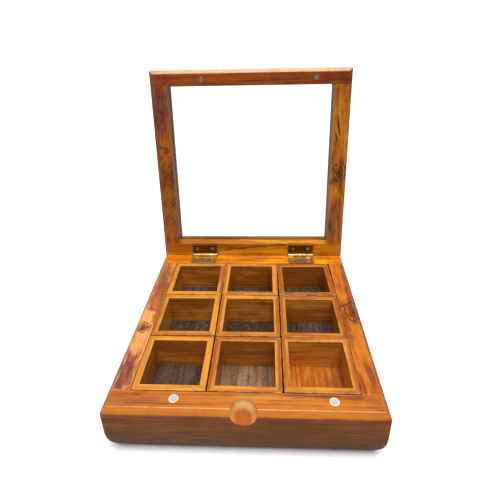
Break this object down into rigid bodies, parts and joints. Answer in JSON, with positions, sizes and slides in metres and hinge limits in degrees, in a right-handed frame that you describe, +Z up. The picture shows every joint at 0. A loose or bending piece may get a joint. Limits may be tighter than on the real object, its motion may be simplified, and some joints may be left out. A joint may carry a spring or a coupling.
{
  "type": "spice box",
  "caption": "Square wooden spice box with lift-out square wooden cups, a clear glazed lid on brass butt hinges, a thumb scoop and magnet catches.",
  "frame": {"origin": "centre of the open box's footprint, on the surface it stands on", "axes": "+X to the right seen from the front, +Y to the back (hinge side), +Z up"},
  "size_m": [0.23, 0.2764, 0.2811],
  "materials": {
    "base_front_wood": "clear gloss lacquer over orange-brown wood",
    "base_back_wood": "clear gloss lacquer over honey wood",
    "base_left_wood": "clear gloss lacquer over dark figured wood",
    "base_right_wood": "clear gloss lacquer over amber wood with a knot",
    "lid_front_wood": "clear gloss lacquer over dark red-brown wood",
    "lid_hinge_wood": "clear gloss lacquer over golden wood",
    "lid_left_wood": "clear gloss lacquer over striped wood",
    "lid_right_wood": "clear gloss lacquer over knotty wood",
    "panel_wood": "thin satin lacquer",
    "cup_wood": "clear satin lacquer over light golden wood",
    "cup_floor_wood": "thin satin lacquer over dark streaked wood",
    "amber_floor_wood": "thin satin lacquer over amber wood",
    "tan_brass": "plain brass, slightly dulled",
    "dark_brass": "darkened brass",
    "pin_brass": "bright drawn brass",
    "screw_brass": "brass, dulled in the slots",
    "magnet_nickel": "bright nickel plate",
    "strike_steel": "dull brushed steel",
    "clear_glass": "clear polished glass"
  },
  "bodies": {
    "tray": {"base_back_rail": "base_back_wood", "base_bottom_panel": "panel_wood", "base_front_rail": "base_front_wood", "base_left_rail": "base_left_wood", "base_magnet_left": "magnet_nickel", "base_magnet_right": "magnet_nickel", "base_right_rail": "base_right_wood", "base_screw_left_a": "screw_brass", "base_screw_left_b": "screw_brass", "base_screw_right_a": "screw_brass", "base_screw_right_b": "screw_brass", "hinge_left_base_leaf": "tan_brass", "hinge_left_pin": "pin_brass", "hinge_right_base_leaf": "tan_brass", "hinge_right_pin": "pin_brass"},
    "lid": {"hinge_left_lid_leaf": "dark_brass", "hinge_right_lid_leaf": "dark_brass", "lid_front_rail": "lid_front_wood", "lid_glass": "clear_glass", "lid_hinge_rail": "lid_hinge_wood", "lid_left_rail": "lid_left_wood", "lid_right_rail": "lid_right_wood", "lid_screw_left_a": "screw_brass", "lid_screw_left_b": "screw_brass", "lid_screw_right_a": "screw_brass", "lid_screw_right_b": "screw_brass", "lid_strike_left": "strike_steel", "lid_strike_right": "strike_steel"},
    "cup_front_left": {"cup_front_left_walls": "cup_wood", "cup_front_left_floor": "cup_floor_wood"},
    "cup_front_middle": {"cup_front_middle_walls": "cup_wood", "cup_front_middle_floor": "cup_floor_wood"},
    "cup_front_right": {"cup_front_right_walls": "cup_wood", "cup_front_right_floor": "amber_floor_wood"},
    "cup_middle_left": {"cup_middle_left_walls": "cup_wood", "cup_middle_left_floor": "cup_floor_wood"},
    "cup_middle_middle": {"cup_middle_middle_walls": "cup_wood", "cup_middle_middle_floor": "cup_floor_wood"},
    "cup_middle_right": {"cup_middle_right_walls": "cup_wood", "cup_middle_right_floor": "cup_floor_wood"},
    "cup_back_left": {"cup_back_left_walls": "cup_wood", "cup_back_left_floor": "cup_floor_wood"},
    "cup_back_middle": {"cup_back_middle_walls": "cup_wood", "cup_back_middle_floor": "cup_floor_wood"},
    "cup_back_right": {"cup_back_right_walls": "cup_wood", "cup_back_right_floor": "cup_floor_wood"}
  },
  "joints": [
    {"name": "lid_hinge", "type": "hinge", "parent": "tray", "child": "lid", "pos_m": [0, 0.09182, 0.0525], "axis": [-1, 0, 0], "range_deg": [-95.3, 0]},
    {"name": "cup_front_left_lift", "type": "slide", "parent": "tray", "child": "cup_front_left", "axis": [0, 0, 1], "range_m": [0, 0.06]},
    {"name": "cup_front_middle_lift", "type": "slide", "parent": "tray", "child": "cup_front_middle", "axis": [0, 0, 1], "range_m": [0, 0.06]},
    {"name": "cup_front_right_lift", "type": "slide", "parent": "tray", "child": "cup_front_right", "axis": [0, 0, 1], "range_m": [0, 0.06]},
    {"name": "cup_middle_left_lift", "type": "slide", "parent": "tray", "child": "cup_middle_left", "axis": [0, 0, 1], "range_m": [0, 0.06]},
    {"name": "cup_middle_middle_lift", "type": "slide", "parent": "tray", "child": "cup_middle_middle", "axis": [0, 0, 1], "range_m": [0, 0.06]},
    {"name": "cup_middle_right_lift", "type": "slide", "parent": "tray", "child": "cup_middle_right", "axis": [0, 0, 1], "range_m": [0, 0.06]},
    {"name": "cup_back_left_lift", "type": "slide", "parent": "tray", "child": "cup_back_left", "axis": [0, 0, 1], "range_m": [0, 0.06]},
    {"name": "cup_back_middle_lift", "type": "slide", "parent": "tray", "child": "cup_back_middle", "axis": [0, 0, 1], "range_m": [0, 0.06]},
    {"name": "cup_back_right_lift", "type": "slide", "parent": "tray", "child": "cup_back_right", "axis": [0, 0, 1], "range_m": [0, 0.06]}
  ]
}
